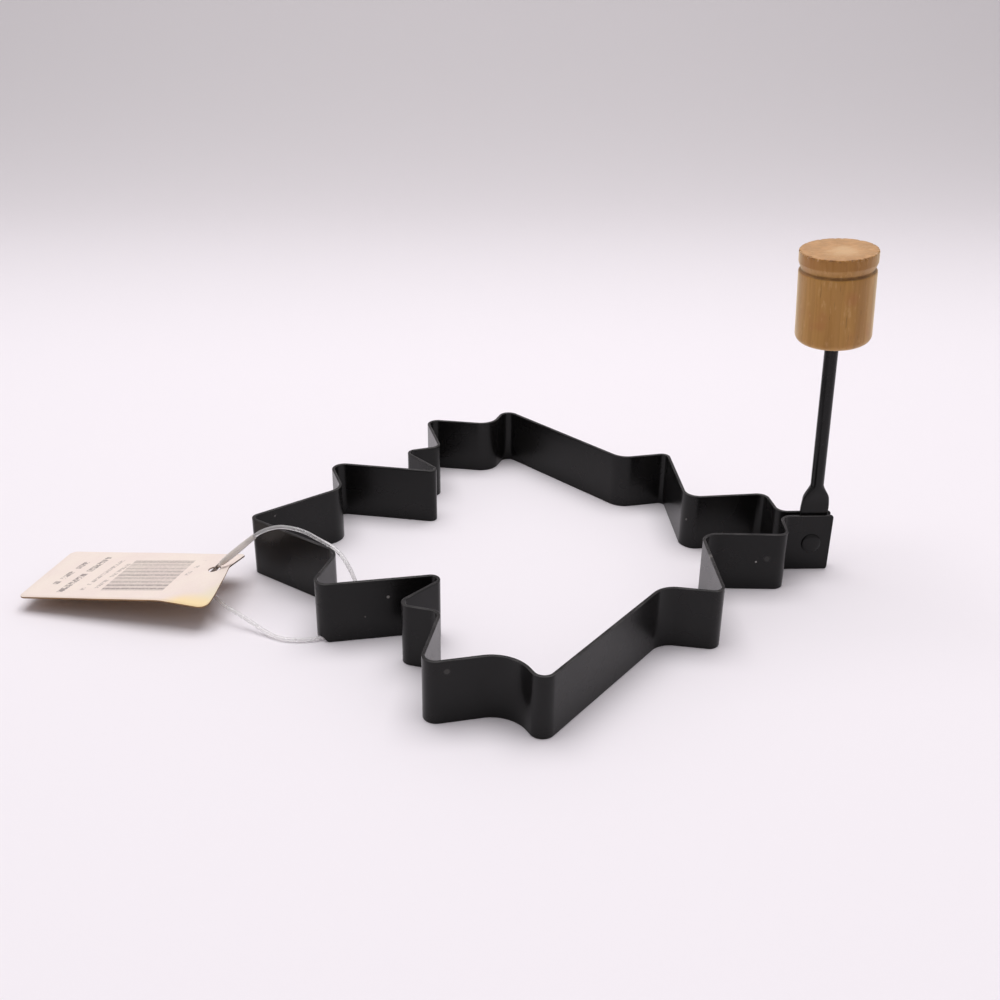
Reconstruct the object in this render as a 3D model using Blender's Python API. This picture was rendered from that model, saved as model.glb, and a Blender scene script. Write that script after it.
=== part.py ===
"""A maple-leaf pancake ring: one bent steel strip, a folding rod handle with a wooden knob, and its hang tag.

Millimetres throughout, turned into metres when a mesh is made. +Z is up, the ring's lower edge lies on z = 0,
+X runs from the leaf's tip to the handle, and the ears stand on both sides of y = 0.
"""
import math

import bmesh
import bpy
from mathutils import Matrix, Vector

MM = 0.001

# the strip
BAND_HEIGHT = 16.0
BAND_THICKNESS = 0.8
EAR_END_X = 74.9
EAR_LENGTH = 14.1
EAR_CORNER_RADIUS = 0.7
EAR_BEND_RADIUS = 2.9
TIP_X = -78.6
TIP_Y = 1.5
TIP_BEND_RADIUS = 1.8
SIDE_LOBE_REACH = 75.2
# each fold from the stem to the tip: x, distance from the middle line, bend radius
NEAR_FOLDS = [
    (60.1, 12.0, 2.6),
    (37.8, 10.6, 4.0),
    (37.6, 40.1, 2.4),
    (23.4, 37.0, 6.0),
    (-8.0, SIDE_LOBE_REACH, 2.6),
    (-13.4, 63.8, 8.8),
    (-33.5, 67.6, 2.7),
    (-28.9, 46.7, 2.8),
    (-39.3, 43.2, 2.1),
    (-26.0, 29.5, 1.9),
    (-59.7, 34.5, 2.8),
    (-54.2, 17.9, 4.8),
]
FAR_FOLDS = [
    (60.0, 12.3, 2.6),
    (38.0, 10.5, 4.0),
    (37.9, 39.9, 1.9),
    (23.8, 37.2, 5.6),
    (-8.0, SIDE_LOBE_REACH, 2.7),
    (-12.9, 63.5, 5.4),
    (-33.1, 67.6, 2.8),
    (-28.9, 46.5, 2.7),
    (-39.3, 43.2, 2.1),
    (-28.2, 28.5, 1.5),
    (-60.4, 35.5, 3.0),
    (-55.7, 18.8, 5.0),
]
BEND_STEP = math.radians(13)

# gaps
SEAT_GAP = 0.3
SIDE_PLAY = 0.3

# the rivet and the handle's rod
RIVET_FROM_EAR_END = 5.2
RIVET_BELOW_MIDDLE = 0.1
RIVET_SHANK_DIAMETER = 3.0
RIVET_HEAD_DIAMETER = 5.2
RIVET_HEAD_HEIGHT = 0.9
TANG_THICKNESS = 1.2
TANG_WIDTH = 7.4
TANG_END_ANGLES_DEG = (12, 25, 40, 55, 72, 90)
TANG_FLAT_LENGTH = 9.6
TANG_NECK_WIDTH = 6.5
TANG_NECK_LENGTH = 5.0
TANG_SHOULDER_AT = 12.6
TANG_SHOULDER_LENGTH = 4.2
ROD_DIAMETER = 3.4
HANDLE_LEAN_DEG = 1.9
ROD_OFF_RIVET = 0.6

# the knob, measured along the rod from the rivet
KNOB_FOOT = 56.1
KNOB_HEIGHT = 22.9
KNOB_DIAMETER = 18.5
KNOB_CAP_DIAMETER = 18.7
KNOB_FOOT_ROUNDING = 2.0
KNOB_CAP_HEIGHT = 4.5
KNOB_CAP_CHAMFER = 1.2
KNOB_RIM_CHAMFER = 0.35
KNOB_GROOVE_WIDTH = 0.9
KNOB_GROOVE_DEPTH = 0.6
KNOB_BORE_DEPTH = 15.0
KNOB_SKEW_DEG = 2.4
KNOB_NOD_DEG = 2.0

# the hang tag
TAG_LENGTH = 50.0
TAG_WIDTH = 26.5
TAG_THICKNESS = 0.45
TAG_CORNER_RADIUS = 1.8
TAG_WORN_CORNER_RADIUS = 2.4
TAG_HOLE_DIAMETER = 3.2
TAG_HOLE_FROM_END = 5.0
TAG_HOLE_OFF_MIDDLE = 4.1
TAG_HOLE_PLACE = (-86.2, -11.0, 7.3)
TAG_TURN_DEG = -13.4
TAG_RISE_DEG = 5.6
TAG_ROLL_DEG = -2.8
TAG_CURL_RADIUS = 21.5
TAG_CURL_FROM_END = 13.3
TAG_CURL_UP_END = 15.6

# the clear loop and its snap lock
LOOP_DIAMETER = 1.1
LOCK_LOW_END = (-83.7, -11.4, 9.9)
LOCK_HIGH_END = (-76.3, -12.9, 16.8)
LOCK_DIAMETER = 2.1
LOCK_MOUTH_DIAMETER = 1.5
LOCK_TAPER_LENGTH = 3.0
LOOP_POINT_STEP = 2.1
# over the strip's top edge, down inside the leaf, out under its lower edge, up through the tag's hole
LOOP_ROUTE = [
    (-73.4, -13.4, 19.2),
    (-70.6, -13.9, 20.5),
    (-67.9, -14.4, 21.1),
    (-64.6, -15.0, 20.8),
    (-61.8, -15.6, 20.0),
    (-58.7, -16.3, 18.4),
    (-55.6, -17.4, 17.0),
    (-53.6, -19.3, 16.1),
    (-51.9, -21.3, 14.6),
    (-50.5, -22.9, 12.4),
    (-49.3, -24.2, 9.4),
    (-48.5, -25.6, 6.0),
    (-48.9, -27.2, 3.2),
    (-50.4, -28.8, 1.5),
    (-52.8, -30.4, 0.75),
    (-55.4, -31.9, 0.6),
    (-58.0, -33.1, 0.6),
    (-60.6, -33.7, 0.6),
    (-63.5, -33.8, 0.6),
    (-66.4, -33.4, 0.6),
    (-69.2, -32.1, 0.7),
    (-72.2, -30.1, 1.3),
    (-75.6, -27.8, 2.5),
    (-79.0, -25.8, 3.7),
    (-82.0, -23.4, 4.2),
    (-84.2, -20.0, 4.0),
    (-85.6, -17.6, 3.9),
    (-86.9, -14.8, 3.7),
    (-88.0, -12.6, 4.0),
    (-88.0, -11.3, 5.3),
]

# the shallow arch in the strip's lower edge that the loop runs out under
ARCH_FOLD = 10
ARCH_HALF_LENGTH = 3.2
ARCH_HEIGHT = LOOP_DIAMETER + 0.05 + SEAT_GAP
ARCH_STOP_STEP = 0.8

EAR_Y = TANG_THICKNESS / 2 + SIDE_PLAY + BAND_THICKNESS / 2
EAR_FACE_Y = EAR_Y + BAND_THICKNESS / 2
RIVET_PLACE = Vector((EAR_END_X - RIVET_FROM_EAR_END, 0.0, BAND_HEIGHT / 2 - RIVET_BELOW_MIDDLE))


def finish(name, colour, roughness, metallic=0.0):
    """A plain material with the piece's colour."""
    material = bpy.data.materials.new(name)
    material.use_nodes = True
    shader = material.node_tree.nodes["Principled BSDF"]
    shader.inputs["Base Color"].default_value = (*colour, 1.0)
    shader.inputs["Roughness"].default_value = roughness
    shader.inputs["Metallic"].default_value = metallic
    material.diffuse_color = (*colour, 1.0)
    return material


def piece(name, vertices, faces, material=None, sharp_deg=40):
    """A closed mesh object from points in millimetres, its faces turned outwards."""
    mesh = bpy.data.meshes.new(name)
    mesh.from_pydata([Vector(v) * MM for v in vertices], [], faces)
    work = bmesh.new()
    work.from_mesh(mesh)
    bmesh.ops.recalc_face_normals(work, faces=work.faces)
    work.to_mesh(mesh)
    work.free()
    mesh.shade_smooth()
    mesh.set_sharp_from_angle(angle=math.radians(sharp_deg))
    if material:
        mesh.materials.append(material)
    made = bpy.data.objects.new(name, mesh)
    bpy.context.scene.collection.objects.link(made)
    return made


def cutter(made):
    """Marks a solid that only cuts others."""
    made.hide_render = True
    made.display_type = "WIRE"
    return made


def cut(target, tool):
    """Takes the tool's solid out of the target."""
    modifier = target.modifiers.new(tool.name, "BOOLEAN")
    modifier.operation = "DIFFERENCE"
    modifier.solver = "EXACT"
    modifier.object = tool


def skinned(rings):
    """Points and faces of a solid through like-sized rings of points, closed by a face at each end."""
    count = len(rings[0])
    points = [p for ring in rings for p in ring]
    faces = [list(range(count))[::-1]]
    for level in range(len(rings) - 1):
        low = level * count
        for k in range(count):
            beside = (k + 1) % count
            faces.append((low + k, low + beside, low + count + beside, low + count + k))
    faces.append([len(points) - count + k for k in range(count)])
    return points, faces


def turned(profile, segments):
    """Points and faces of a solid turned about Z. Its profile, of (radius, height), starts and ends on Z."""
    points = [(0.0, 0.0, profile[0][1])]
    for radius, height in profile[1:-1]:
        for k in range(segments):
            angle = 2 * math.pi * k / segments
            points.append((radius * math.cos(angle), radius * math.sin(angle), height))
    points.append((0.0, 0.0, profile[-1][1]))
    last = len(points) - 1
    faces = []
    for k in range(segments):
        beside = (k + 1) % segments
        faces.append((0, 1 + beside, 1 + k))
        for level in range(len(profile) - 3):
            low = 1 + level * segments
            faces.append((low + k, low + beside, low + segments + beside, low + segments + k))
        top = 1 + (len(profile) - 3) * segments
        faces.append((top + k, top + beside, last))
    return points, faces


def bent_line(corners):
    """Points of straight runs joined by round bends, and each bend's middle. A corner is (x, y, radius)."""
    points = [Vector(corners[0][:2])]
    middles = []
    for before, corner, after in zip(corners, corners[1:], corners[2:]):
        here = Vector(corner[:2])
        back = (Vector(before[:2]) - here).normalized()
        ahead = (Vector(after[:2]) - here).normalized()
        turn = math.pi - back.angle(ahead)
        centre = here + (back + ahead).normalized() * corner[2] / math.cos(turn / 2)
        arm = here + back * corner[2] * math.tan(turn / 2) - centre
        way = -1 if back.x * ahead.y - back.y * ahead.x > 0 else 1
        steps = max(2, math.ceil(turn / BEND_STEP))
        for k in range(steps + 1):
            points.append(centre + Matrix.Rotation(way * turn * k / steps, 2) @ arm)
        middles.append(centre + Matrix.Rotation(way * turn / 2, 2) @ arm)
    points.append(Vector(corners[-1][:2]))
    return points, middles


def with_stops(points, lengths, stops):
    """The line's points and lengths with a point added at each stop along it."""
    for stop in stops:
        k = next(i for i, length in enumerate(lengths) if length > stop)
        if min(stop - lengths[k - 1], lengths[k] - stop) > 0.05:
            share = (stop - lengths[k - 1]) / (lengths[k] - lengths[k - 1])
            points.insert(k, points[k - 1].lerp(points[k], share))
            lengths.insert(k, stop)
    return points, lengths


def leaf_corners():
    """The strip's corners from the near ear's free end round the leaf to the far ear's."""
    stem = [(EAR_END_X, EAR_Y, 0.0), (EAR_END_X - EAR_LENGTH, EAR_Y, EAR_BEND_RADIUS)]
    near = [(x, -y, radius) for x, y, radius in stem + NEAR_FOLDS]
    return near + [(TIP_X, TIP_Y, TIP_BEND_RADIUS)] + (stem + FAR_FOLDS)[::-1]


def leaf_band(material):
    """One strip on edge, folded round the leaf from ear to ear."""
    points, middles = bent_line(leaf_corners())
    lengths = [0.0]
    for a, b in zip(points, points[1:]):
        lengths.append(lengths[-1] + (b - a).length)
    total = lengths[-1]
    nearest = min(range(len(points)), key=lambda i: (points[i] - middles[ARCH_FOLD + 1]).length)
    arch_at = lengths[nearest]
    count = math.ceil(ARCH_HALF_LENGTH / ARCH_STOP_STEP)
    stops = [arch_at + ARCH_HALF_LENGTH * k / count for k in range(-count, count + 1)]
    for share in (0.1, 0.35, 1.0):
        stops += [EAR_CORNER_RADIUS * share, total - EAR_CORNER_RADIUS * share]
    points, lengths = with_stops(points, lengths, sorted(stops))
    rings = []
    for k, (point, length) in enumerate(zip(points, lengths)):
        back = (point - points[max(k - 1, 0)]).normalized()
        ahead = (points[min(k + 1, len(points) - 1)] - point).normalized()
        along = (back + ahead).normalized()
        side = Vector((-along.y, along.x)) * BAND_THICKNESS / 2 / along.dot(ahead if k == 0 else back)
        from_end = min(length, total - length, EAR_CORNER_RADIUS)
        trim = EAR_CORNER_RADIUS - math.sqrt(EAR_CORNER_RADIUS**2 - (EAR_CORNER_RADIUS - from_end) ** 2)
        off_arch = min(abs(length - arch_at) / ARCH_HALF_LENGTH, 1.0)
        low = trim + ARCH_HEIGHT * (0.5 + 0.5 * math.cos(math.pi * off_arch**1.5))
        high = BAND_HEIGHT - trim
        left, right = point + side, point - side
        rings.append([(*right, low), (*left, low), (*left, high), (*right, high)])
    return piece("leaf_band", *skinned(rings), material, sharp_deg=30)


def rivet_hole():
    """The drill for the rivet's holes, through both ears and the tang."""
    reach = EAR_FACE_Y + RIVET_HEAD_HEIGHT
    radius = RIVET_SHANK_DIAMETER / 2 + SEAT_GAP
    made = piece("rivet_drill", *turned([(0, -reach), (radius, -reach), (radius, reach), (0, reach)], 32))
    made.location = RIVET_PLACE * MM
    made.rotation_euler = (math.pi / 2, 0, 0)
    return cutter(made)


def pivot_rivet(material):
    """A solid rivet with a low round head on both sides."""
    under = EAR_FACE_Y + SEAT_GAP
    radius = RIVET_HEAD_DIAMETER / 2
    edge = RIVET_HEAD_HEIGHT * 0.25
    dome = RIVET_HEAD_HEIGHT - edge
    steps = 4
    arc = [math.pi / 2 * k / steps for k in range(steps)]
    head = [(radius * math.cos(a), under + edge + dome * math.sin(a)) for a in arc]
    shank = RIVET_SHANK_DIAMETER / 2
    upper = [(shank, under), (radius * 0.96, under)] + head + [(0.0, under + RIVET_HEAD_HEIGHT)]
    lower = [(r, -y) for r, y in reversed(upper)]
    made = piece("pivot_rivet", *turned(lower + upper, 28), material, sharp_deg=50)
    made.location = RIVET_PLACE * MM
    made.rotation_euler = (math.pi / 2, 0, 0)
    return made


def eased(value, start, length):
    """0 before start and 1 after start + length, easing in and out between them."""
    share = min(max((value - start) / length, 0.0), 1.0)
    return share * share * (3 - 2 * share)


def handle_rod(material):
    """A round rod, its lower end hammered into a flat tang with a round end about the rivet."""
    tang = TANG_WIDTH / 2
    rod = ROD_DIAMETER / 2
    neck = TANG_NECK_WIDTH / 2
    shoulder_end = TANG_SHOULDER_AT + TANG_SHOULDER_LENGTH
    round_end = [-tang * math.cos(math.radians(a)) for a in TANG_END_ANGLES_DEG]
    shoulder = [TANG_FLAT_LENGTH + (shoulder_end - TANG_FLAT_LENGTH) * k / 10 for k in range(11)]
    top = KNOB_FOOT + KNOB_BORE_DEPTH - SEAT_GAP
    rings = []
    for height in round_end + shoulder + [top - 0.4, top]:
        rounding = eased(height, TANG_FLAT_LENGTH + 1.0, shoulder_end - TANG_FLAT_LENGTH - 1.0)
        width = tang + (neck - tang) * eased(height, TANG_FLAT_LENGTH, TANG_NECK_LENGTH)
        width += (rod - neck) * eased(height, TANG_SHOULDER_AT, TANG_SHOULDER_LENGTH)
        offset = ROD_OFF_RIVET * eased(height, 0, TANG_SHOULDER_AT)
        if height < 0:
            width = math.sqrt(tang**2 - height**2)
        thick = TANG_THICKNESS / 2 + (rod - TANG_THICKNESS / 2) * rounding
        if height == top:
            width, thick = width - 0.4, thick - 0.4
        power = 2 / (6 - 4 * rounding)
        ring = []
        for k in range(24):
            across, through = math.cos(math.pi * k / 12), math.sin(math.pi * k / 12)
            x = math.copysign(abs(across) ** power, across) * width + offset
            y = math.copysign(abs(through) ** power, through) * thick
            ring.append((x, y, height))
        rings.append(ring)
    assert shoulder_end < KNOB_FOOT, "the knob sits above the tang's shoulder"
    return piece("handle_rod", *skinned(rings), material, sharp_deg=50)


def knob_profile():
    """The knob's turned outline from the middle of its foot up to the middle of its top."""
    side = KNOB_DIAMETER / 2
    cap = KNOB_CAP_DIAMETER / 2
    groove = side - KNOB_GROOVE_DEPTH
    groove_at = KNOB_HEIGHT - KNOB_CAP_HEIGHT
    rounding = [math.radians(a) for a in (0, 22, 45, 68, 90)]
    foot = [
        (
            side - KNOB_FOOT_ROUNDING * (1 - math.sin(a)),
            KNOB_FOOT_ROUNDING * (1 - math.cos(a)),
        )
        for a in rounding
    ]
    return (
        [(0.0, 0.0)]
        + foot
        + [
            (side, groove_at - KNOB_GROOVE_WIDTH / 2 - 0.25),
            (side - 0.1, groove_at - KNOB_GROOVE_WIDTH / 2),
            (groove, groove_at - 0.1),
            (groove, groove_at + 0.1),
            (groove + 0.2, groove_at + KNOB_GROOVE_WIDTH / 2),
            (cap, groove_at + KNOB_GROOVE_WIDTH / 2 + KNOB_CAP_CHAMFER),
            (cap, KNOB_HEIGHT - KNOB_RIM_CHAMFER),
            (cap - KNOB_RIM_CHAMFER, KNOB_HEIGHT),
            (0.0, KNOB_HEIGHT),
        ]
    )


def wooden_knob(material, hinge):
    """The turned knob, a little askew on the rod, with a blind bore for it."""
    made = piece("wooden_knob", *turned(knob_profile(), 48), material, sharp_deg=24)
    made.parent = hinge
    made.location = (ROD_OFF_RIVET * MM, 0, KNOB_FOOT * MM)
    made.rotation_euler = (math.radians(KNOB_NOD_DEG), math.radians(-KNOB_SKEW_DEG), 0)
    radius = ROD_DIAMETER / 2 + SEAT_GAP
    start = KNOB_FOOT - 2 * KNOB_FOOT_ROUNDING
    depth = KNOB_FOOT + KNOB_BORE_DEPTH
    bore = piece("knob_drill", *turned([(0, start), (radius, start), (radius, depth), (0, depth)], 24))
    bore.parent = hinge
    bore.location = (ROD_OFF_RIVET * MM, 0, 0)
    cut(made, cutter(bore))
    return made


def corner_radius(x, y):
    """The radius of the card's corner on the side of a point. The one that curls is worn rounder."""
    return TAG_WORN_CORNER_RADIUS if x > 0 > y else TAG_CORNER_RADIUS


def card_edge(direction):
    """How far the card's rounded outline is from its hole along a direction in its plane."""
    hole = Vector((TAG_LENGTH / 2 - TAG_HOLE_FROM_END, TAG_HOLE_OFF_MIDDLE))
    near, far = 0.0, TAG_LENGTH + TAG_WIDTH
    for _ in range(40):
        reach = (near + far) / 2
        point = hole + direction * reach
        radius = corner_radius(*point)
        over_x = max(abs(point.x) - TAG_LENGTH / 2 + radius, 0.0)
        over_y = max(abs(point.y) - TAG_WIDTH / 2 + radius, 0.0)
        if math.hypot(over_x, over_y) < radius:
            near = reach
        else:
            far = reach
    return near


def card_angles():
    """Directions from the hole that catch each rounded corner of the card and keep the hole round."""
    hole = Vector((TAG_LENGTH / 2 - TAG_HOLE_FROM_END, TAG_HOLE_OFF_MIDDLE))
    angles = [math.tau * k / 32 for k in range(32)]
    for x_side in (-1, 1):
        for y_side in (-1, 1):
            radius = corner_radius(x_side, y_side)
            centre = Vector((x_side * (TAG_LENGTH / 2 - radius), y_side * (TAG_WIDTH / 2 - radius)))
            for k in range(5):
                turn = math.pi / 2 * k / 4
                point = centre + radius * Vector((x_side * math.cos(turn), y_side * math.sin(turn)))
                angles.append(math.atan2(point.y - hole.y, point.x - hole.x) % math.tau)
    angles.sort()
    kept = [angles[0]]
    for angle in angles[1:]:
        if angle - kept[-1] > 0.004:
            kept.append(angle)
    return kept


def curled(point, height):
    """A point of the flat card, height over its middle plane, moved by the curl of its front corner."""
    front = Vector((TAG_LENGTH / 2 - TAG_CURL_FROM_END, -TAG_WIDTH / 2))
    fold = Vector((TAG_CURL_FROM_END, TAG_CURL_UP_END)).normalized()
    outwards = Vector((fold.y, -fold.x))
    past = (point - front).dot(outwards)
    if past <= 0:
        return Vector((*point, height))
    angle = past / TAG_CURL_RADIUS
    flat = point - outwards * past + outwards * (TAG_CURL_RADIUS + height) * math.sin(angle)
    return Vector((*flat, (TAG_CURL_RADIUS + height) * math.cos(angle) - TAG_CURL_RADIUS))


def price_tag(material):
    """A card with round corners and a punched hole, its front corner curled down."""
    hole = Vector((TAG_LENGTH / 2 - TAG_HOLE_FROM_END, TAG_HOLE_OFF_MIDDLE))
    shares = (0.0, 0.12, 0.3, 0.5, 0.68, 0.84, 1.0)
    angles = card_angles()
    sections = []
    for angle in angles:
        direction = Vector((math.cos(angle), math.sin(angle)))
        inner = TAG_HOLE_DIAMETER / 2
        outer = card_edge(direction)
        flat = [hole + direction * (inner + (outer - inner) * share) for share in shares]
        upper = [curled(point, TAG_THICKNESS / 2) for point in flat]
        lower = [curled(point, -TAG_THICKNESS / 2) for point in reversed(flat)]
        sections.append([point - Vector((*hole, 0.0)) for point in upper + lower])
    count = len(sections[0])
    points = [p for section in sections for p in section]
    faces = []
    for k in range(len(sections)):
        here, beside = k * count, (k + 1) % len(sections) * count
        for i in range(count):
            follow = (i + 1) % count
            faces.append((here + i, here + follow, beside + follow, beside + i))
    made = piece("price_tag", points, faces, material)
    made.location = Vector(TAG_HOLE_PLACE) * MM
    made.rotation_euler = [math.radians(a) for a in (TAG_ROLL_DEG, -TAG_RISE_DEG, TAG_TURN_DEG)]
    return made


def lock_axis():
    """The snap lock's lower end, its direction and its length."""
    low, high = Vector(LOCK_LOW_END), Vector(LOCK_HIGH_END)
    return low, (high - low).normalized(), (high - low).length


def loop_lock(material):
    """The small barrel that the loop's two ends snap into, tapering towards its upper mouth."""
    low, along, length = lock_axis()
    wide, mouth = LOCK_DIAMETER / 2, LOCK_MOUTH_DIAMETER / 2
    profile = [
        (0.0, 0.0),
        (mouth, 0.0),
        (wide, (wide - mouth) * 1.5),
        (wide, length - LOCK_TAPER_LENGTH),
        (mouth, length),
        (0.0, length),
    ]
    made = piece("loop_lock", *turned(profile, 16), material, sharp_deg=35)
    made.location = low * MM
    made.rotation_mode = "QUATERNION"
    made.rotation_quaternion = along.to_track_quat("Z", "Y")
    return made


def smooth_line(route, step):
    """Evenly spaced points on a smooth curve through the route's points."""
    ends = [2 * route[0] - route[1]] + route + [2 * route[-1] - route[-2]]
    fine = []
    for a, b, c, d in zip(ends, ends[1:], ends[2:], ends[3:]):
        for k in range(24):
            t = k / 24
            square = (2 * a - 5 * b + 4 * c - d) * t**2
            cube = (3 * b - a - 3 * c + d) * t**3
            fine.append(0.5 * (2 * b + (c - a) * t + square + cube))
    fine.append(route[-1])
    lengths = [0.0]
    for a, b in zip(fine, fine[1:]):
        lengths.append(lengths[-1] + (b - a).length)
    count = round(lengths[-1] / step)
    spaced, k = [], 0
    for i in range(count + 1):
        want = lengths[-1] * i / count
        while k < len(fine) - 2 and lengths[k + 1] < want:
            k += 1
        spaced.append(fine[k].lerp(fine[k + 1], (want - lengths[k]) / (lengths[k + 1] - lengths[k])))
    return spaced


def tag_loop(material):
    """The clear strand from the lock's upper end round the strip and back to its lower end."""
    low, along, length = lock_axis()
    start = low + along * (length + SEAT_GAP)
    end = low - along * SEAT_GAP
    lead = along * LOOP_DIAMETER
    way = [Vector(p) for p in LOOP_ROUTE] + [Vector(TAG_HOLE_PLACE)]
    points = smooth_line([start, start + lead] + way + [end - lead, end], LOOP_POINT_STEP)
    curve = bpy.data.curves.new("tag_loop", "CURVE")
    curve.dimensions = "3D"
    curve.bevel_depth = LOOP_DIAMETER / 2 * MM
    curve.bevel_resolution = 2
    curve.use_fill_caps = True
    spline = curve.splines.new("POLY")
    spline.points.add(len(points) - 1)
    for point, place in zip(spline.points, points):
        point.co = (*(place * MM), 1.0)
    curve.materials.append(material)
    made = bpy.data.objects.new("tag_loop", curve)
    bpy.context.scene.collection.objects.link(made)
    return made


for leftover in list(bpy.data.objects):
    bpy.data.objects.remove(leftover, do_unlink=True)

black_coat = finish("black_coat", (0.012, 0.011, 0.011), 0.38)
black_rod = finish("black_rod", (0.015, 0.013, 0.013), 0.35)
bare_wood = finish("honey_wood", (0.47, 0.29, 0.14), 0.6)
cream_card = finish("cream_card", (0.83, 0.72, 0.53), 0.8)
clear_plastic = finish("clear_plastic", (0.75, 0.74, 0.72), 0.25)

drill = rivet_hole()
cut(leaf_band(black_coat), drill)
pivot_rivet(black_coat)

handle_hinge = bpy.data.objects.new("handle_hinge", None)
bpy.context.scene.collection.objects.link(handle_hinge)
handle_hinge.location = RIVET_PLACE * MM
handle_hinge.rotation_euler = (0, math.radians(-HANDLE_LEAN_DEG), 0)
rod = handle_rod(black_rod)
rod.parent = handle_hinge
cut(rod, drill)
wooden_knob(bare_wood, handle_hinge)

price_tag(cream_card)
loop_lock(clear_plastic)
tag_loop(clear_plastic)
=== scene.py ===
import math

import bmesh
import bpy
from mathutils import Matrix, Vector, noise


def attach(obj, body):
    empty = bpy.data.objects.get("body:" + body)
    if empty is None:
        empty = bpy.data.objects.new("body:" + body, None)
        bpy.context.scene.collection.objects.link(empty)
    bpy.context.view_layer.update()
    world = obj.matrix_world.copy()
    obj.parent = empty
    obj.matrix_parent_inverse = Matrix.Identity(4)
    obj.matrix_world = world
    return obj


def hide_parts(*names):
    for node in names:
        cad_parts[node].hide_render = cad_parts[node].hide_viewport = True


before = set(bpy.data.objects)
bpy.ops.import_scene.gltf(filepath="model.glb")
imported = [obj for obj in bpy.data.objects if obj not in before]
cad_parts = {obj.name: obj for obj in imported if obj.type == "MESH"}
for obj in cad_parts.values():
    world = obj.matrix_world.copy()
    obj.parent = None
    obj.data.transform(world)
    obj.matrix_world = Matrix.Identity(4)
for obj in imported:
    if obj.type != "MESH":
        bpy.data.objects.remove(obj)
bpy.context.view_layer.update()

# The camera stands in front of the leaf and a little left of its middle, with the stem and the handle on the
# right. It looks down at the ring, and leans to one side by less than a degree.
MM = 0.001
EYE = Vector((-27.85, -276.14, 156.15)) * MM
EYE_TURN_DEG = 3.003
EYE_DOWN_DEG = 26.077
EYE_LEAN_DEG = 0.727
LENS_MM = 42.637
SENSOR_MM = 36.0

eye = bpy.data.objects.new("camera", bpy.data.cameras.new("camera"))
bpy.context.scene.collection.objects.link(eye)
eye.data.lens = LENS_MM
eye.data.sensor_width = SENSOR_MM
turned_right = Matrix.Rotation(math.radians(-EYE_TURN_DEG), 4, "Z")
looking_down = Matrix.Rotation(math.radians(90 - EYE_DOWN_DEG), 4, "X")
leaning = Matrix.Rotation(math.radians(EYE_LEAN_DEG), 4, "Z")
eye.matrix_world = Matrix.Translation(EYE) @ turned_right @ looking_down @ leaning
bpy.context.scene.camera = eye

# The loop of the hang tag is one strand of clear plastic, 1 mm thick. From the snap lock it runs over the
# strip's top edge, down inside the leaf, out through the arch in the strip's lower edge and up through the
# card's hole.
STRAND_THICK = 1.0
STRAND_STEP = 0.7
STRAND_IN_LOCK = 1.0
STRAND_STRAIGHT = 1.4
STRAND_COLOUR = (0.94, 0.93, 0.925)
STRAND_ROUGHNESS = 0.26
STRAND_CLEARNESS = 0.76
# less than plastic's 1.5, because a strand this thin then looks as faint as the real one
PLASTIC_IOR = 1.16
PLASTIC_SKIN_ROUGHNESS = 0.16
# painted shade: the strand is darkened round the card's hole, where it lies in the hole's shadow
HOLE_SHADE_COLOUR = (0.16, 0.11, 0.08)
HOLE_SHADE_REACH = 2.6
HOLE_SHADE_FULLY = 1.4
LOCK_LOW_END = Vector((-83.7, -11.4, 9.9))
LOCK_HIGH_END = Vector((-76.3, -12.9, 16.8))
CARD_HOLE = Vector((-86.2, -11.0, 7.3))
LOOP_ROUTE = [
    (-73.4, -13.4, 19.2),
    (-70.6, -13.9, 20.5),
    (-67.9, -14.4, 21.1),
    (-64.6, -15.0, 20.8),
    (-61.8, -15.6, 20.0),
    (-58.7, -16.3, 18.4),
    (-55.6, -17.4, 17.0),
    (-53.6, -19.3, 16.1),
    (-51.9, -21.3, 14.6),
    (-50.5, -22.9, 12.4),
    (-49.3, -24.2, 9.4),
    (-48.5, -25.6, 6.0),
    (-48.9, -27.2, 3.2),
    (-50.4, -28.8, 1.5),
    (-52.8, -30.4, 0.75),
    (-55.4, -31.9, 0.6),
    (-58.0, -33.1, 0.6),
    (-60.6, -33.7, 0.6),
    (-63.5, -33.8, 0.6),
    (-66.4, -33.4, 0.6),
    (-69.2, -32.1, 0.7),
    (-72.2, -30.1, 1.3),
    (-75.6, -27.8, 2.5),
    (-79.0, -25.8, 3.7),
    (-82.0, -23.4, 4.2),
    (-84.2, -20.0, 4.0),
    (-85.6, -17.6, 3.9),
    (-86.9, -14.8, 3.7),
    (-88.0, -12.6, 4.0),
    (-88.0, -11.3, 5.3),
]


def smooth_line(route, step, splits=24):
    """Evenly spaced points on a smooth curve through the route's points."""
    ends = [2 * route[0] - route[1]] + route + [2 * route[-1] - route[-2]]
    fine = []
    for a, b, c, d in zip(ends, ends[1:], ends[2:], ends[3:]):
        for k in range(splits):
            t = k / splits
            square = (2 * a - 5 * b + 4 * c - d) * t**2
            cube = (3 * b - a - 3 * c + d) * t**3
            fine.append(0.5 * (2 * b + (c - a) * t + square + cube))
    fine.append(route[-1])
    lengths = [0.0]
    for a, b in zip(fine, fine[1:]):
        lengths.append(lengths[-1] + (b - a).length)
    count = round(lengths[-1] / step)
    spaced, k = [], 0
    for i in range(count + 1):
        want = lengths[-1] * i / count
        while k < len(fine) - 2 and lengths[k + 1] < want:
            k += 1
        spaced.append(fine[k].lerp(fine[k + 1], (want - lengths[k]) / (lengths[k + 1] - lengths[k])))
    return spaced


def new_finish(name, colour, roughness):
    """A material of one colour and roughness, its node tree and its shader, for detail to be added."""
    made = bpy.data.materials.new(name)
    made.use_nodes = True
    shader = made.node_tree.nodes["Principled BSDF"]
    shader.inputs["Base Color"].default_value = (*colour, 1.0)
    shader.inputs["Roughness"].default_value = roughness
    return made, made.node_tree, shader


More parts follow.
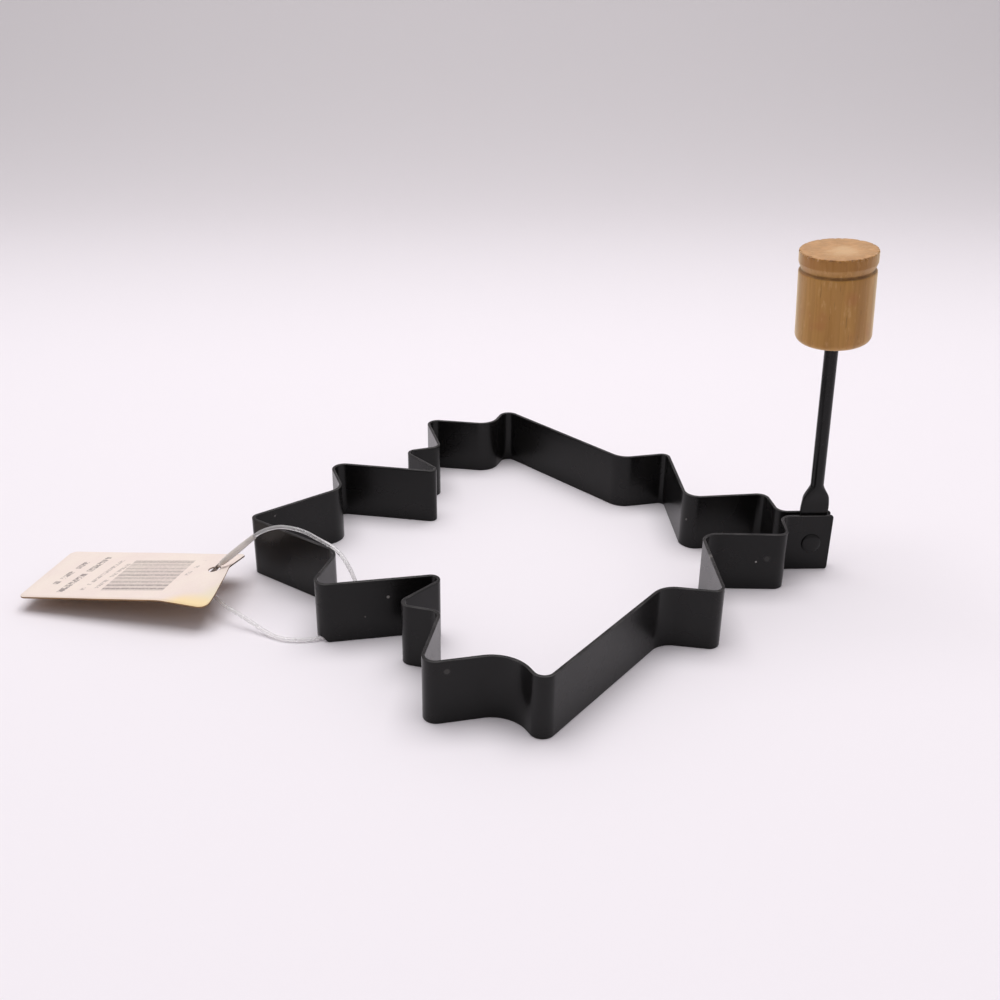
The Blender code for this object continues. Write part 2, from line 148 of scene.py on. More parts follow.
def put(tree, kind, settings=None, **sockets):
    """Adds a node. A socket is given a number, a colour, a vector or another node's output."""
    made = tree.nodes.new("ShaderNode" + kind)
    for name, value in (settings or {}).items():
        setattr(made, name, value)
    for name, value in sockets.items():
        socket = made.inputs[name.replace("_", " ")]
        if isinstance(value, bpy.types.NodeSocket):
            tree.links.new(value, socket)
        else:
            socket.default_value = value
    return made


def sums(tree, what, a, b=0.0, c=0.0):
    """The output of a Math node on up to three values."""
    made = put(tree, "Math", {"operation": what})
    for socket, value in zip(made.inputs, (a, b, c)):
        if isinstance(value, bpy.types.NodeSocket):
            tree.links.new(value, socket)
        else:
            socket.default_value = value
    return made.outputs[0]


def spread(tree, value, low, high, to_low=0.0, to_high=1.0):
    """A value between two limits, stretched to run from one number to another and eased at both ends."""
    made = put(tree, "MapRange", {"interpolation_type": "SMOOTHSTEP"},
               Value=value, From_Min=low, From_Max=high, To_Min=to_low, To_Max=to_high)
    return made.outputs[0]


def tint(tree, share, under, over):
    """One colour laid over another by a share. Either is a colour or another node's output."""
    made = put(tree, "Mix", {"data_type": "RGBA"})
    for socket, value in ((made.inputs[0], share), (made.inputs[6], under), (made.inputs[7], over)):
        if isinstance(value, bpy.types.NodeSocket):
            tree.links.new(value, socket)
        elif isinstance(value, tuple):
            socket.default_value = (*value, 1.0)
        else:
            socket.default_value = value
    return made.outputs[2]


def grain(tree, where, size_mm, detail=2.0, stretch=(1, 1, 1)):
    """Cloudy variation with blotches of about a size in millimetres. A small stretch draws them out long."""
    scaled = put(tree, "Mapping", Vector=where, Scale=stretch).outputs[0]
    made = put(tree, "TexNoise", Vector=scaled, Scale=1.0 / (size_mm * MM), Detail=detail)
    return made.outputs[0]


def distance(tree, where, place):
    """How far a point is from a place that is given in millimetres."""
    made = put(tree, "VectorMath", {"operation": "DISTANCE"})
    tree.links.new(where, made.inputs[0])
    made.inputs[1].default_value = Vector(place) * MM
    return made.outputs["Value"]


def clear_plastic(name, colour, roughness, clearness, shaded_at=None):
    """Clear or milky plastic with a smooth skin. It is hazier in places, and can be darkened round one spot
    with painted shade.
    """
    made, tree, shader = new_finish(name, colour, roughness)
    shader.inputs["IOR"].default_value = PLASTIC_IOR
    shader.inputs["Transmission Weight"].default_value = clearness
    shader.inputs["Coat Weight"].default_value = 1.0
    shader.inputs["Coat Roughness"].default_value = PLASTIC_SKIN_ROUGHNESS
    where = put(tree, "TexCoord").outputs["Object"]
    clouds = grain(tree, where, 6.0)
    milkier = tuple(0.93 * part for part in colour)
    base = tint(tree, spread(tree, clouds, 0.35, 0.65), colour, milkier)
    # painted shade round one spot, such as the dark of the card's hole on the strand
    if shaded_at:
        off = distance(tree, where, shaded_at)
        hole_shade = spread(tree, off, HOLE_SHADE_REACH * MM, HOLE_SHADE_FULLY * MM, 0.0, 0.9)
        base = tint(tree, hole_shade, base, HOLE_SHADE_COLOUR)
    tree.links.new(base, shader.inputs["Base Color"])
    hazy = spread(tree, clouds, 0.3, 0.7, roughness * 0.9, roughness * 1.15)
    tree.links.new(hazy, shader.inputs["Roughness"])
    return made


lock_way = (LOCK_HIGH_END - LOCK_LOW_END).normalized()
strand_start = LOCK_HIGH_END - lock_way * STRAND_IN_LOCK
strand_end = LOCK_LOW_END + lock_way * STRAND_IN_LOCK
strand_route = [strand_start, LOCK_HIGH_END + lock_way * STRAND_STRAIGHT]
strand_route += [Vector(p) for p in LOOP_ROUTE]
strand_route += [CARD_HOLE, LOCK_LOW_END - lock_way * STRAND_STRAIGHT, strand_end]
strand_curve = bpy.data.curves.new("strand", "CURVE")
strand_curve.dimensions = "3D"
strand_curve.bevel_depth = STRAND_THICK / 2 * MM
strand_curve.bevel_resolution = 5
strand_curve.use_fill_caps = True
strand_points = smooth_line(strand_route, STRAND_STEP)
strand_spline = strand_curve.splines.new("POLY")
strand_spline.points.add(len(strand_points) - 1)
for spline_point, place in zip(strand_spline.points, strand_points):
    spline_point.co = (*(place * MM), 1.0)
strand_plastic = clear_plastic("clear_strand", STRAND_COLOUR, STRAND_ROUGHNESS, STRAND_CLEARNESS, CARD_HOLE)
strand_curve.materials.append(strand_plastic)
strand = bpy.data.objects.new("strand", strand_curve)
bpy.context.scene.collection.objects.link(strand)
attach(strand, "ring")
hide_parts("tag_loop")

# The snap lock is a small milky barrel, moulded in one with the strand's upper end. The lower end pushes into
# it and can't be drawn out. It is widest near its lower mouth, which points into the card's hole, and tapers
# upwards.
LOCK_THICK = 1.7
LOCK_MOUTH = 1.32
LOCK_TAIL = 0.8
LOCK_NOSE = 1.6
LOCK_WIDEST = 3.0
LOCK_FULLNESS = 0.8
LOCK_LIP = 0.03
LOCK_STEPS = 40
LOCK_SIDES = 40
SOCKET_THICK = STRAND_THICK + 0.06
SOCKET_DEPTH = STRAND_IN_LOCK + 0.2
LOCK_COLOUR = (0.84, 0.79, 0.74)
LOCK_ROUGHNESS = 0.32
LOCK_CLEARNESS = 0.35


def turned(profile, segments):
    """Points and faces turned about Z from a profile of (radius, height) that starts and ends on Z."""
    points = [(0.0, 0.0, profile[0][1])]
    for radius, height in profile[1:-1]:
        for k in range(segments):
            angle = math.tau * k / segments
            points.append((radius * math.cos(angle), radius * math.sin(angle), height))
    points.append((0.0, 0.0, profile[-1][1]))
    last = len(points) - 1
    top = 1 + (len(profile) - 3) * segments
    faces = []
    for k in range(segments):
        beside = (k + 1) % segments
        faces.append((0, 1 + beside, 1 + k))
        for low in range(1, top, segments):
            faces.append((low + k, low + beside, low + segments + beside, low + segments + k))
        faces.append((top + k, top + beside, last))
    return points, faces


def round_corner(corner, start_deg, end_deg, radius, steps):
    """Points of an arc about a corner's centre, for a profile."""
    arc = []
    for k in range(steps + 1):
        angle = math.radians(start_deg + (end_deg - start_deg) * k / steps)
        arc.append((corner[0] + radius * math.cos(angle), corner[1] + radius * math.sin(angle)))
    return arc


def made_of(name, points, faces, material, sharp_deg=40, place=Matrix.Identity(4)):
    """A closed, smoothly shaded object from points in millimetres in its own frame, put in its place."""
    mesh = bpy.data.meshes.new(name)
    mesh.from_pydata([Vector(p) * MM for p in points], [], faces)
    work = bmesh.new()
    work.from_mesh(mesh)
    bmesh.ops.recalc_face_normals(work, faces=work.faces)
    work.to_mesh(mesh)
    work.free()
    mesh.shade_smooth()
    mesh.set_sharp_from_angle(angle=math.radians(sharp_deg))
    if material:
        mesh.materials.append(material)
    made = bpy.data.objects.new(name, mesh)
    bpy.context.scene.collection.objects.link(made)
    made.matrix_world = place
    return made


lock_long = (LOCK_HIGH_END - LOCK_LOW_END).length
lock_low, lock_high = -LOCK_TAIL, lock_long + LOCK_NOSE
lock_profile = [(0.0, SOCKET_DEPTH), (SOCKET_THICK / 2, SOCKET_DEPTH), (SOCKET_THICK / 2, lock_low)]
for step in range(LOCK_STEPS + 1):
    height = lock_low + LOCK_LIP + (lock_high - lock_low - 2 * LOCK_LIP) * step / LOCK_STEPS
    if height < LOCK_WIDEST:
        swell = math.sin(math.pi / 2 * (height - lock_low) / (LOCK_WIDEST - lock_low))
    else:
        swell = math.cos(math.pi / 2 * (height - LOCK_WIDEST) / (lock_high - LOCK_WIDEST))
    lock_profile.append((LOCK_MOUTH / 2 + (LOCK_THICK - LOCK_MOUTH) / 2 * swell**LOCK_FULLNESS, height))
lock_profile += [(SOCKET_THICK / 2, lock_high), (SOCKET_THICK / 2, lock_long - SOCKET_DEPTH)]
lock_profile += [(0.0, lock_long - SOCKET_DEPTH)]
lock_place = Matrix.Translation(LOCK_LOW_END * MM) @ lock_way.to_track_quat("Z", "Y").to_matrix().to_4x4()
milky_plastic = clear_plastic("milky_plastic", LOCK_COLOUR, LOCK_ROUGHNESS, LOCK_CLEARNESS)
lock_shape = turned(lock_profile, LOCK_SIDES)
snap_lock = made_of("snap_lock", *lock_shape, milky_plastic, sharp_deg=35, place=lock_place)
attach(snap_lock, "ring")
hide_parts("loop_lock")

# The hang tag is a card of cream board, brown behind, with a punched hole. The strand lifts its end by the
# hole, and its front corner is bent down and has gone yellow. Its face has a block of plain ruled lines and
# rows of broken dashes that spell nothing.
CARD_LONG = 50.0
CARD_WIDE = 26.5
CARD_THICK = 0.45
CARD_CORNER = 1.8
WORN_CORNER = 2.4
HOLE_ACROSS = 3.2
HOLE_FROM_END = 5.0
HOLE_OFF_MIDDLE = 4.1
CARD_TURN_DEG = (-2.8, -5.6, -13.4)
CREASE_FROM_END = 13.3
CREASE_UP_END = 15.6
CREASE_DEG = 12.0
CREASE_RADIUS = 8.8
LIFT_HIGH = 1.65
LIFT_FROM_END = 6.0
LIFT_MIDDLE = 2.35
LIFT_REACH = 10.0
LIFT_ROUNDING = 0.3
CARD_WAVE = 0.10
WAVE_LONG = 17.0
WAVE_WIDE = 13.0
WAVE_SEED = 2.6
CARD_RINGS = 26
CARD_SPOKES = 120
CORNER_STEPS = 12
# how far in from the hole's edge or the cut edge the board is pressed down, and by how much
HOLE_PRESSED = (0.12, 0.06)
EDGE_PRESSED = (0.10, 0.05)
CARD_FACE = (0.82, 0.70, 0.65)
CARD_CREAM = (0.845, 0.74, 0.67)
CARD_FIBRE = (0.72, 0.61, 0.50)
CARD_BACK = (0.31, 0.175, 0.065)
CARD_BACK_FIBRE = (0.41, 0.255, 0.12)
# the cut edges' brown board, made darker with painted shade as for an edge face in shade
SHADED_BOARD_EDGE = (0.25, 0.14, 0.07)
CARD_EDGE_PALE = (0.40, 0.24, 0.12)
# painted shade on the cut edge at the card's far end, past the hole
CARD_END_SHADE = (0.085, 0.055, 0.04)
CARD_STAIN = (0.90, 0.70, 0.40)
CARD_GREASE = (0.80, 0.71, 0.53)
CARD_BROWNED = (0.78, 0.55, 0.30)
CARD_INK = (0.16, 0.14, 0.14)
BOARD_ROUGHNESS = 0.82
BAR_PITCH = 1.9
BAR_OFFSET = 20.0
BAR_DARKNESS = (0.34, 0.72)
BETWEEN_BARS = 0.27
BAR_RISE = 0.036
BAR_SLANT = 0.058
# the block of ruled lines: its two ends along the card and its two sides across it
BAR_BLOCK = (-4.35, 12.1, -8.7, 8.7)
RULE_SLANT = 0.145
DASH_LONG = 0.30
DASHES_HIGH = 2.5
DASHES_LEFT_OUT = 0.34
BREAK_LONG = 1.5
BREAKS = 0.10
# rows of broken dashes at random: the row's middle, its width, its two ends and how dark it is
BROKEN_RULES = [
    (-18.1, 1.6, -6.0, 7.0, 0.72),
    (-13.8, 1.7, -10.3, 10.1, 0.76),
    (-8.7, 1.1, -8.9, 8.5, 0.50),
    (-5.6, 1.1, -7.7, 6.3, 0.45),
    (13.9, 1.0, 0.3, 9.2, 0.42),
]
card_hole = Vector((CARD_LONG / 2 - HOLE_FROM_END, HOLE_OFF_MIDDLE))


def corner_radius(x, y):
    """The radius of the card's corner on the side of a point."""
    return WORN_CORNER if x > 0 > y else CARD_CORNER


def card_reach(direction):
    """How far the card's rounded outline is from its hole along a direction in its plane."""
    near, far = 0.0, CARD_LONG + CARD_WIDE
    # halving the stretch that holds the edge, until it is far thinner than the card's own edge
    for _ in range(40):
        reach = (near + far) / 2
        point = card_hole + direction * reach
        radius = corner_radius(*point)
        over_x = max(abs(point.x) - CARD_LONG / 2 + radius, 0.0)
        over_y = max(abs(point.y) - CARD_WIDE / 2 + radius, 0.0)
        if math.hypot(over_x, over_y) < radius:
            near = reach
        else:
            far = reach
    return near


def card_angles():
    """Directions from the hole, closer together at the card's corners."""
    angles = [math.tau * k / CARD_SPOKES for k in range(CARD_SPOKES)]
    for x_side in (-1, 1):
        for y_side in (-1, 1):
            radius = corner_radius(x_side, y_side)
            centre = Vector((x_side * (CARD_LONG / 2 - radius), y_side * (CARD_WIDE / 2 - radius)))
            for k in range(CORNER_STEPS + 1):
                turn = math.pi / 2 * k / CORNER_STEPS
                point = centre + radius * Vector((x_side * math.cos(turn), y_side * math.sin(turn)))
                angles.append(math.atan2(point.y - card_hole.y, point.x - card_hole.x) % math.tau)
    angles.sort()
    return [a for a, b in zip(angles, angles[1:] + [angles[0] + math.tau]) if b - a > 0.002]


def creased(point, height):
    """A point of the flat card, a height over its middle, moved by its lifted end, waves and crease."""
    half_long, half_wide = CARD_LONG / 2, CARD_WIDE / 2
    past_hole = max(0.0, 1 - (half_long - point.x) / LIFT_FROM_END)
    off_ridge = point.y - LIFT_MIDDLE
    reach = half_wide - LIFT_MIDDLE if off_ridge > 0 else LIFT_REACH
    ridge = 1 + LIFT_ROUNDING / LIFT_REACH - math.hypot(off_ridge, LIFT_ROUNDING) / reach
    height += LIFT_HIGH * past_hole**2 * max(0.0, ridge)
    wave = noise.noise(Vector((point.x / WAVE_LONG, point.y / WAVE_WIDE, WAVE_SEED))) * CARD_WAVE
    front = Vector((half_long - CREASE_FROM_END, -half_wide))
    fold = Vector((CREASE_FROM_END, CREASE_UP_END)).normalized()
    outwards = Vector((fold.y, -fold.x))
    past = (point - front).dot(outwards)
    if past <= 0:
        return Vector((*point, height + wave))
    angle = min(past / CREASE_RADIUS, math.radians(CREASE_DEG))
    straight = past - angle * CREASE_RADIUS
    along = (CREASE_RADIUS + height) * math.sin(angle) + straight * math.cos(angle)
    drop = CREASE_RADIUS - (CREASE_RADIUS + height) * math.cos(angle) + straight * math.sin(angle)
    return Vector((*(point + outwards * (along - past)), wave - drop))


def card_faces(angles):
    """Points and faces of the card, in rings from the hole's edge out over its face and back under it."""
    half = CARD_THICK / 2
    shares = [k / CARD_RINGS for k in range(CARD_RINGS + 1)]
    points = []
    for angle in angles:
        direction = Vector((math.cos(angle), math.sin(angle)))
        inner = HOLE_ACROSS / 2
        outer = card_reach(direction)
        spots = [inner + (outer - inner) * share for share in shares]
        spots[1] = inner + HOLE_PRESSED[0]
        spots[-2] = outer - EDGE_PRESSED[0]
        top = [half - HOLE_PRESSED[1]] + [half] * (len(spots) - 2) + [half - EDGE_PRESSED[1]]
        face = list(zip(spots, top))
        section = [creased(card_hole + direction * spot, height) for spot, height in face]
        section += [creased(card_hole + direction * spot, -height) for spot, height in reversed(face)]
        points += [point - Vector((*card_hole, 0.0)) for point in section]
    count = len(points) // len(angles)
    faces = []
    for k in range(len(angles)):
        here, beside = k * count, (k + 1) % len(angles) * count
        for i in range(count):
            follow = (i + 1) % count
            faces.append((here + i, here + follow, beside + follow, beside + i))
    return points, faces


def inside(tree, value, low, high, soft=0.08):
    """1 where a value in millimetres lies between two limits, and 0 outside them."""
    above = spread(tree, value, low - soft, low + soft)
    below = spread(tree, value, high - soft, high + soft, 1.0, 0.0)
    return sums(tree, "MULTIPLY", above, below)


def past_line(tree, along, across, slant, middle):
    """How far along a point is from a line that slants across the card."""
    return sums(tree, "SUBTRACT", sums(tree, "MULTIPLY_ADD", across, -slant, along), middle)


def cells(tree, along, across, size_along, size_across, seed):
    """A random number for each cell of a grid over the card."""
    column = sums(tree, "FLOOR", sums(tree, "DIVIDE", along, size_along))
    row = sums(tree, "FLOOR", sums(tree, "DIVIDE", across, size_across))
    cell = put(tree, "CombineXYZ", X=column, Y=row, Z=seed).outputs[0]
    return put(tree, "TexWhiteNoise", Vector=cell).outputs[0]


def printed_card():
    """Cream board, ruled and soiled, with painted shade on its cut edges. Along and across are measured in
    millimetres from the card's middle.
    """
    made, tree, shader = new_finish("cream_board", CARD_FACE, BOARD_ROUGHNESS)
    shader.inputs["Specular IOR Level"].default_value = 0.3
    where = put(tree, "TexCoord").outputs["Object"]
    axes = put(tree, "SeparateXYZ", Vector=where)
    along = sums(tree, "MULTIPLY_ADD", axes.outputs[0], 1 / MM, card_hole.x)
    across = sums(tree, "MULTIPLY_ADD", axes.outputs[1], 1 / MM, card_hole.y)
    facing = put(tree, "SeparateXYZ", Vector=put(tree, "TexCoord").outputs["Normal"]).outputs[2]
    fibres = grain(tree, where, 0.5, 4.0)
    clouds = grain(tree, where, 9.0, 3.0)
    face = tint(tree, spread(tree, clouds, 0.35, 0.7), CARD_FACE, CARD_CREAM)
    face = tint(tree, spread(tree, fibres, 0.3, 0.8, 0.0, 0.18), face, CARD_FIBRE)

    slope = CREASE_UP_END / CREASE_FROM_END
    front_edge = -CARD_WIDE / 2
    crease_start = front_edge - slope * (CARD_LONG / 2 - CREASE_FROM_END)
    past_crease = sums(tree, "SUBTRACT", sums(tree, "MULTIPLY_ADD", along, slope, crease_start), across)
    wavy = sums(tree, "MULTIPLY_ADD", clouds, 4.0, past_crease)
    face = tint(tree, spread(tree, wavy, 5.5, 12.0, 0.0, 0.9), face, CARD_GREASE)
    blotchy = sums(tree, "MULTIPLY_ADD", clouds, 3.0, across)
    by_front = spread(tree, blotchy, front_edge + 7.4, front_edge + 2.2)
    yellowed = sums(tree, "MULTIPLY", by_front, spread(tree, wavy, 2.0, 8.0, 0.0, 0.95))
    face = tint(tree, yellowed, face, CARD_STAIN)
    frayed = sums(tree, "MULTIPLY_ADD", fibres, 1.2, across)
    near_front = spread(tree, frayed, front_edge + 1.9, front_edge + 0.4)
    browned = sums(tree, "MULTIPLY", near_front, spread(tree, along, -30.0, 14.0, 0.08, 0.35))
    face = tint(tree, browned, face, CARD_BROWNED)

    row = sums(tree, "MULTIPLY_ADD", along, -BAR_RISE, across)
    bar_along = past_line(tree, along, across, BAR_SLANT, 0.0)
    off_line = sums(tree, "FRACT", sums(tree, "DIVIDE", sums(tree, "ADD", row, BAR_OFFSET), BAR_PITCH))
    off_line = sums(tree, "ABSOLUTE", sums(tree, "SUBTRACT", off_line, 0.5))
    dark = spread(tree, cells(tree, 0.0, row, 1.0, BAR_PITCH, 3.0), 0.1, 0.9, *BAR_DARKNESS)
    bars = sums(tree, "MULTIPLY", spread(tree, off_line, 0.24, 0.16), dark)
    bars = sums(tree, "MAXIMUM", bars, BETWEEN_BARS)
    bars = sums(tree, "MULTIPLY", bars, inside(tree, bar_along, BAR_BLOCK[0], BAR_BLOCK[1]))
    printed = sums(tree, "MULTIPLY", bars, inside(tree, row, BAR_BLOCK[2], BAR_BLOCK[3]))
    for number, (middle, width, low, high, strength) in enumerate(BROKEN_RULES):
        off_row = past_line(tree, along, across, RULE_SLANT, middle)
        dash = cells(tree, off_row, across, width / DASHES_HIGH, DASH_LONG, 7.0 + number)
        gap = cells(tree, 0.0, across, 1.0, BREAK_LONG, 17.0 + number)
        rule = sums(tree, "MULTIPLY", sums(tree, "GREATER_THAN", dash, DASHES_LEFT_OUT), strength)
        rule = sums(tree, "MULTIPLY", rule, sums(tree, "GREATER_THAN", gap, BREAKS))
        rule = sums(tree, "MULTIPLY", rule, inside(tree, off_row, -width / 2, width / 2))
        rule = sums(tree, "MULTIPLY", rule, inside(tree, across, low, high))
        printed = sums(tree, "MAXIMUM", printed, rule)
    uneven = spread(tree, fibres, 0.25, 0.6, 0.6, 1.0)
    printed = sums(tree, "MULTIPLY", sums(tree, "MULTIPLY", printed, uneven), spread(tree, facing, 0.5, 0.8))
    face = tint(tree, printed, face, CARD_INK)

    # the cut edges: brown board with painted shade, and darker painted shade on the far end's edge past the
    # hole
    shaded_cut = tint(tree, spread(tree, clouds, 0.3, 0.7), SHADED_BOARD_EDGE, CARD_EDGE_PALE)
    # painted shade: the cut edge at the end past the hole is darkened as if in shade
    end_shade = spread(tree, sums(tree, "MULTIPLY_ADD", fibres, 2.0, along), 22.5, 24.5)
    end_shade = sums(tree, "MULTIPLY", end_shade, spread(tree, across, 1.5, 3.5, 0.1, 0.9))
    shaded_cut = tint(tree, end_shade, shaded_cut, CARD_END_SHADE)
    face = tint(tree, spread(tree, facing, 0.75, 0.35), face, shaded_cut)
    back = tint(tree, spread(tree, fibres, 0.3, 0.8, 0.0, 0.4), CARD_BACK, CARD_BACK_FIBRE)
    tree.links.new(tint(tree, spread(tree, facing, -0.35, -0.75), face, back), shader.inputs["Base Color"])
    bump = put(tree, "Bump", Height=fibres, Strength=0.35, Distance=0.04 * MM)
    tree.links.new(bump.outputs[0], shader.inputs["Normal"])
    return made


card_turn = Matrix.Rotation(math.radians(CARD_TURN_DEG[2]), 4, "Z")
card_turn = card_turn @ Matrix.Rotation(math.radians(CARD_TURN_DEG[1]), 4, "Y")
card_turn = card_turn @ Matrix.Rotation(math.radians(CARD_TURN_DEG[0]), 4, "X")
card_place = Matrix.Translation(CARD_HOLE * MM) @ card_turn
card = made_of("card", *card_faces(card_angles()), printed_card(), sharp_deg=60, place=card_place)
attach(card, "card")
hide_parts("price_tag")

# The ring is one strip of steel, 16 mm high and 0.8 mm thick, bent by hand over pegs into a maple leaf. Its
# two ends lie side by side as ears. It was coated black and baked after bending, and the coat is thin on its
# sheared rims.
STRIP_HIGH = 16.0
STRIP_THICK = 0.8
RIM_ROUNDING = 0.2
END_CHAMFER = 0.12
BEND_STEP_DEG = 4.0
RUN_STEP = 3.0
SHORT_RUN = 2.0
BESIDE_BEND = 0.5
EAR_OFF_MIDDLE = 1.3
EAR_END = 74.9
EAR_BEND = 60.8
EAR_CORNER = 0.7
# the bends from the near ear round the leaf to the far ear: along, across, and the bend's radius
LEAF_BENDS = [
    (EAR_BEND, -EAR_OFF_MIDDLE, 2.9),
    (60.1, -12.0, 2.6),
    (37.8, -10.6, 4.0),
    (37.6, -40.1, 2.4),
    (23.4, -37.0, 6.0),
    (-8.0, -75.2, 2.6),
    (-13.4, -63.8, 8.8),
    (-33.5, -67.6, 2.7),
    (-28.9, -46.7, 2.8),
    (-39.3, -43.2, 2.1),
    (-26.0, -29.5, 1.9),
    (-59.7, -34.5, 2.8),
    (-54.2, -17.9, 4.8),
    (-78.6, 1.5, 1.8),
    (-55.7, 18.8, 5.0),
    (-60.4, 35.5, 3.0),
    (-28.2, 28.5, 1.5),
    (-39.3, 43.2, 2.1),
    (-28.9, 46.5, 2.7),
    (-33.1, 67.6, 2.8),
    (-12.9, 63.5, 5.4),
    (-8.0, 75.2, 2.7),
    (23.8, 37.2, 5.6),
    (37.9, 39.9, 1.9),
    (38.0, 10.5, 4.0),
    (60.0, 12.3, 2.6),
    (EAR_BEND, EAR_OFF_MIDDLE, 2.9),
]
ARCH_AT_BEND = 11
ARCH_HALF_LENGTH = 2.3
ARCH_HIGH = 1.25
ARCH_FLATNESS = 1.5
RIVET_PLACE = Vector((69.7, 0.0, 7.9))
RIVET_HOLE = 3.6
DRILL_REACH = 3.0
DRILL_SIDES = 48
COAT_BLACK = (0.0052, 0.0049, 0.0049)
COAT_SMUDGED = (0.0095, 0.0088, 0.0086)
COAT_WORN = (0.085, 0.081, 0.080)
COAT_DUST = (0.30, 0.28, 0.27)
COAT_NICKED = (0.42, 0.40, 0.38)
DUST_APART = 5.5
DUST_SHARE = 0.72
DUST_ACROSS = 0.022
STRIP_ROUGHNESS = 0.26
# small marks in the coat: where each is, how far across and how strong
COAT_MARKS = [
    (52.4, -11.9, 8.1, 0.7, 0.9),
    (55.1, -12.1, 9.0, 2.2, 0.07),
    (-41.4, -32.2, 11.2, 1.1, 0.55),
    (-47.0, -33.1, 6.3, 0.6, 0.30),
    (-55.0, -33.9, 12.5, 0.7, 0.20),
    (-27.6, -67.1, 13.3, 2.0, 0.10),
    (38.7, 11.9, 8.5, 0.7, 0.4),
    (-72.6, 5.6, 14.1, 0.8, 0.3),
    (37.4, -22.7, 16.0, 2.2, 0.25),
]


def bent_line(start, bends, end):
    """Points of straight runs joined by round bends, and the middle of each bend."""
    corners = [(*start, 0.0)] + bends + [(*end, 0.0)]
    points, middles = [Vector(start)], []
    for before, corner, after in zip(corners, corners[1:], corners[2:]):
        here = Vector(corner[:2])
        back = (Vector(before[:2]) - here).normalized()
        ahead = (Vector(after[:2]) - here).normalized()
        turn = math.pi - back.angle(ahead)
        centre = here + (back + ahead).normalized() * corner[2] / math.cos(turn / 2)
        arm = here + back * corner[2] * math.tan(turn / 2) - centre
        way = -1 if back.x * ahead.y - back.y * ahead.x > 0 else 1
        steps = max(4, math.ceil(math.degrees(turn) / BEND_STEP_DEG))
        bend = [centre + Matrix.Rotation(way * turn * k / steps, 2) @ arm for k in range(steps + 1)]
        points += straight_run(points[-1], bend[0]) + bend
        middles.append(centre + Matrix.Rotation(way * turn / 2, 2) @ arm)
    points += straight_run(points[-1], Vector(end)) + [Vector(end)]
    return points, middles


def straight_run(a, b):
    """Points between two ends of a straight run, with one close to each end."""
    length = (b - a).length
    if length < SHORT_RUN:
        return [a.lerp(b, 0.5)]
    count = max(1, round(length / RUN_STEP))
    spots = [BESIDE_BEND] + [length * k / count for k in range(1, count)] + [length - BESIDE_BEND]
    return [a.lerp(b, spot / length) for spot in spots]


def strip_section(half, low, high):
    """The strip's cut end as (across, height) points, its four rims rounded."""
    r = RIM_ROUNDING
    right = [(half, low + r), (half, low + 3 * r), (half, (low + high) / 2), (half, high - 3 * r)]
    top = round_corner((half - r, high - r), 0, 90, r, 4)
    top += round_corner((r - half, high - r), 90, 180, r, 4)
    left = [(-x, high + low - z) for x, z in right[1:]]
    bottom = round_corner((r - half, low + r), 180, 270, r, 4)
    bottom += round_corner((half - r, low + r), 270, 360, r, 4)
    return right + top + left + bottom[:-1]


def strip_points():
    """The strip's rings of points along the leaf, one for each place on its middle line."""
    points, middles = bent_line((EAR_END, -EAR_OFF_MIDDLE), LEAF_BENDS, (EAR_END, EAR_OFF_MIDDLE))
    ends = points[0], points[-1]
    points = [p for p in points if min((p - end).length for end in ends) > EAR_CORNER + 0.3]
    for stop in [EAR_CORNER * share for share in (1.0, 0.65, 0.35, 0.15, 0.04, 0.0)]:
        points = [ends[0] - Vector((stop, 0))] + points + [ends[1] - Vector((stop, 0))]
    lengths = [0.0]
    for a, b in zip(points, points[1:]):
        lengths.append(lengths[-1] + (b - a).length)
    total = lengths[-1]
    arch_middle = middles[ARCH_AT_BEND]
    arch_at = lengths[min(range(len(points)), key=lambda i: (points[i] - arch_middle).length)]
    rings = []
    for k, (point, length) in enumerate(zip(points, lengths)):
        back = (point - points[max(k - 1, 0)]).normalized()
        ahead = (points[min(k + 1, len(points) - 1)] - point).normalized()
        along = (back + ahead).normalized()
        out = Vector((-along.y, along.x)) / along.dot(ahead if k == 0 else back)
        from_end = min(length, total - length, EAR_CORNER)
        trim = EAR_CORNER - math.sqrt(EAR_CORNER**2 - (EAR_CORNER - from_end) ** 2)
        half = STRIP_THICK / 2 - END_CHAMFER * max(0.0, 1 - from_end / END_CHAMFER)
        off_arch = min(abs(length - arch_at) / ARCH_HALF_LENGTH, 1.0)
        low = trim + ARCH_HIGH * (0.5 + 0.5 * math.cos(math.pi * off_arch**ARCH_FLATNESS))
        rings.append([(*(point + out * x), z) for x, z in strip_section(half, low, STRIP_HIGH - trim)])
    return rings


def skinned(rings):
    """Points and faces of a solid through like rings of points, closed by a face at each end."""
    count = len(rings[0])
    points = [p for ring in rings for p in ring]
    faces = [list(range(count))[::-1]]
    for low in range(0, len(points) - count, count):
        for k in range(count):
            beside = (k + 1) % count
            faces.append((low + k, low + beside, low + count + beside, low + count + k))
    faces.append([len(points) - count + k for k in range(count)])
    return points, faces


def drilled(target):
    """Drills the rivet's hole through a piece, and leaves the piece one plain mesh."""
    radius = RIVET_HOLE / 2
    profile = [(0, -DRILL_REACH), (radius, -DRILL_REACH), (radius, DRILL_REACH), (0, DRILL_REACH)]
    drill = made_of("drill", *turned(profile, DRILL_SIDES), None, place=rivet_place)
    drilling = target.modifiers.new("hole", "BOOLEAN")
    drilling.operation = "DIFFERENCE"
    drilling.solver = "EXACT"
    drilling.object = drill
    bpy.context.view_layer.update()
    whole = target.data
    cut_through = target.evaluated_get(bpy.context.evaluated_depsgraph_get())
    target.data = bpy.data.meshes.new_from_object(cut_through)
    target.modifiers.clear()
    target.data.set_sharp_from_angle(angle=math.radians(30))
    bpy.data.meshes.remove(whole)
    bpy.data.objects.remove(drill)


